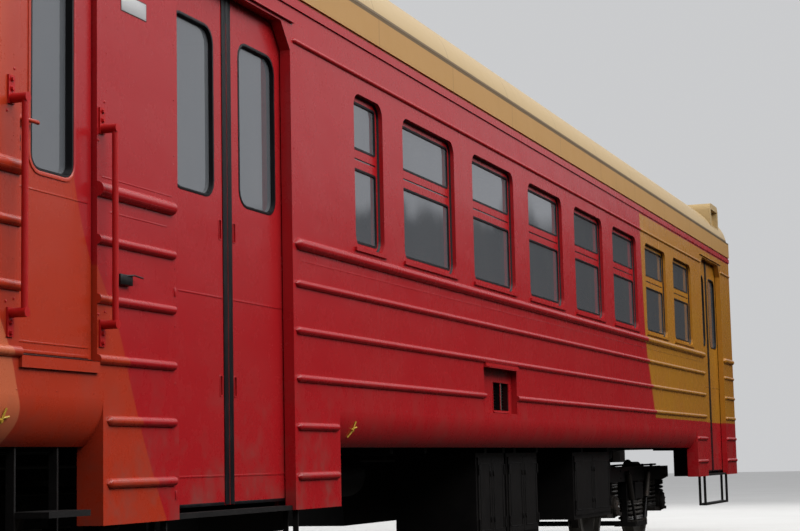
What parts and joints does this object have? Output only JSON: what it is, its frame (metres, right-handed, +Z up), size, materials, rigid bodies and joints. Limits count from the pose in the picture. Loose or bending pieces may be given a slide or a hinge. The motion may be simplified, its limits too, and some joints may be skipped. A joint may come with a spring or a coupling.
{
  "type": "driving trailer car of a suburban electric multiple unit",
  "caption": "Rail passenger car with a rounded cab, ribbed sides, double sliding doors, corridor end, and two sprung bogies, in red paint fading to yellow.",
  "frame": {"origin": "bottom centre of the car, at the level of the wheels' flange tips, midway between the ends", "axes": "+X to the cab end, +Y to the left side, +Z up"},
  "size_m": [20.25, 3.648, 4.293],
  "materials": {
    "black_paint": "semi-matt black paint, dusty",
    "cast": "dark cast steel, dusty",
    "cream_paint": "glossy cream and gold paint",
    "desk": "grey green desk",
    "glass": "clear glass",
    "laminate": "light laminate",
    "lamp": "lamp glass",
    "lino": "brown floor covering",
    "rail_paint": "glossy red paint",
    "red_paint": "glossy red paint",
    "rubber": "black rubber",
    "seat": "brown seat covering",
    "steel": "worn steel"
  },
  "bodies": {
    "root": {"side_panels_left": "red_paint", "side_panels_right": "red_paint", "cantrails": "red_paint", "roof": "cream_paint", "cab_front": "red_paint", "end_wall": "red_paint", "gangway": "rubber", "floor": "lino", "underframe": "black_paint", "couplers": "cast", "plough": "red_paint", "steps": "black_paint", "window_frames": "red_paint", "window_glass": "glass", "partitions": "laminate", "ceiling": "laminate", "benches": "seat", "cab_fittings": "desk", "handrails": "rail_paint", "lamps": "lamp", "equipment_boxes": "black_paint", "air_reservoirs": "black_paint", "brake_pipe": "black_paint"},
    "front_left_lead_leaf": {"front_left_lead_leaf": "red_paint", "front_left_lead_pane": "glass"},
    "front_left_follow_leaf": {"front_left_follow_leaf": "red_paint", "front_left_follow_pane": "glass"},
    "front_right_lead_leaf": {"front_right_lead_leaf": "red_paint", "front_right_lead_pane": "glass"},
    "front_right_follow_leaf": {"front_right_follow_leaf": "red_paint", "front_right_follow_pane": "glass"},
    "rear_left_lead_leaf": {"rear_left_lead_leaf": "red_paint", "rear_left_lead_pane": "glass"},
    "rear_left_follow_leaf": {"rear_left_follow_leaf": "red_paint", "rear_left_follow_pane": "glass"},
    "rear_right_lead_leaf": {"rear_right_lead_leaf": "red_paint", "rear_right_lead_pane": "glass"},
    "rear_right_follow_leaf": {"rear_right_follow_leaf": "red_paint", "rear_right_follow_pane": "glass"},
    "service_door_left": {"service_door_left": "red_paint", "service_pane_left": "glass"},
    "service_door_right": {"service_door_right": "red_paint", "service_pane_right": "glass"},
    "end_door": {"end_door": "red_paint", "end_pane": "glass"},
    "front_bogie": {"front_bogie_frame": "black_paint", "front_bogie_bolster": "black_paint", "front_bogie_axleboxes": "cast", "front_bogie_springs": "steel", "front_bogie_brake_gear": "cast"},
    "front_lead_wheelset": {"front_lead_wheelset": "steel"},
    "front_trail_wheelset": {"front_trail_wheelset": "steel"},
    "rear_bogie": {"rear_bogie_frame": "black_paint", "rear_bogie_bolster": "black_paint", "rear_bogie_axleboxes": "cast", "rear_bogie_springs": "steel", "rear_bogie_brake_gear": "cast"},
    "rear_lead_wheelset": {"rear_lead_wheelset": "steel"},
    "rear_trail_wheelset": {"rear_trail_wheelset": "steel"}
  },
  "joints": [
    {"name": "front_left_lead_slide", "type": "slide", "parent": "root", "child": "front_left_lead_leaf", "axis": [1, 0, 0], "range_m": [0, 0.6]},
    {"name": "front_left_follow_slide", "type": "slide", "parent": "root", "child": "front_left_follow_leaf", "axis": [-1, 0, 0], "range_m": [0, 0.6]},
    {"name": "front_right_lead_slide", "type": "slide", "parent": "root", "child": "front_right_lead_leaf", "axis": [1, 0, 0], "range_m": [0, 0.6]},
    {"name": "front_right_follow_slide", "type": "slide", "parent": "root", "child": "front_right_follow_leaf", "axis": [-1, 0, 0], "range_m": [0, 0.6]},
    {"name": "rear_left_lead_slide", "type": "slide", "parent": "root", "child": "rear_left_lead_leaf", "axis": [1, 0, 0], "range_m": [0, 0.6]},
    {"name": "rear_left_follow_slide", "type": "slide", "parent": "root", "child": "rear_left_follow_leaf", "axis": [-1, 0, 0], "range_m": [0, 0.6]},
    {"name": "rear_right_lead_slide", "type": "slide", "parent": "root", "child": "rear_right_lead_leaf", "axis": [1, 0, 0], "range_m": [0, 0.6]},
    {"name": "rear_right_follow_slide", "type": "slide", "parent": "root", "child": "rear_right_follow_leaf", "axis": [-1, 0, 0], "range_m": [0, 0.6]},
    {"name": "service_left_hinge", "type": "hinge", "parent": "root", "child": "service_door_left", "pos_m": [7.061, 1.654, 2.4], "axis": [0, 0, 1], "range_deg": [0, 90]},
    {"name": "service_right_hinge", "type": "hinge", "parent": "root", "child": "service_door_right", "pos_m": [7.061, -1.654, 2.4], "axis": [0, 0, -1], "range_deg": [0, 90]},
    {"name": "end_door_hinge", "type": "hinge", "parent": "root", "child": "end_door", "pos_m": [-9.724, 0.351, 2.4], "axis": [0, 0, 1], "range_deg": [0, 90]},
    {"name": "front_bogie_yaw", "type": "hinge", "parent": "root", "child": "front_bogie", "pos_m": [6.65, 0, 1.05], "axis": [0, 0, 1], "range_deg": [-3.5, 3.5]},
    {"name": "front_lead_roll", "type": "hinge", "parent": "front_bogie", "child": "front_lead_wheelset", "pos_m": [7.85, 0, 0.503], "axis": [0, 1, 0], "continuous": true},
    {"name": "front_trail_roll", "type": "hinge", "parent": "front_bogie", "child": "front_trail_wheelset", "pos_m": [5.45, 0, 0.503], "axis": [0, 1, 0], "continuous": true},
    {"name": "rear_bogie_yaw", "type": "hinge", "parent": "root", "child": "rear_bogie", "pos_m": [-6.65, 0, 1.05], "axis": [0, 0, 1], "range_deg": [-3.5, 3.5]},
    {"name": "rear_lead_roll", "type": "hinge", "parent": "rear_bogie", "child": "rear_lead_wheelset", "pos_m": [-5.45, 0, 0.503], "axis": [0, 1, 0], "continuous": true},
    {"name": "rear_trail_roll", "type": "hinge", "parent": "rear_bogie", "child": "rear_trail_wheelset", "pos_m": [-7.85, 0, 0.503], "axis": [0, 1, 0], "continuous": true}
  ],
  "couplings": [
    {"joint": "front_left_follow_slide", "follows": "front_left_lead_slide", "ratio": 1},
    {"joint": "front_right_follow_slide", "follows": "front_right_lead_slide", "ratio": 1},
    {"joint": "rear_left_follow_slide", "follows": "rear_left_lead_slide", "ratio": 1},
    {"joint": "rear_right_follow_slide", "follows": "rear_right_lead_slide", "ratio": 1}
  ]
}
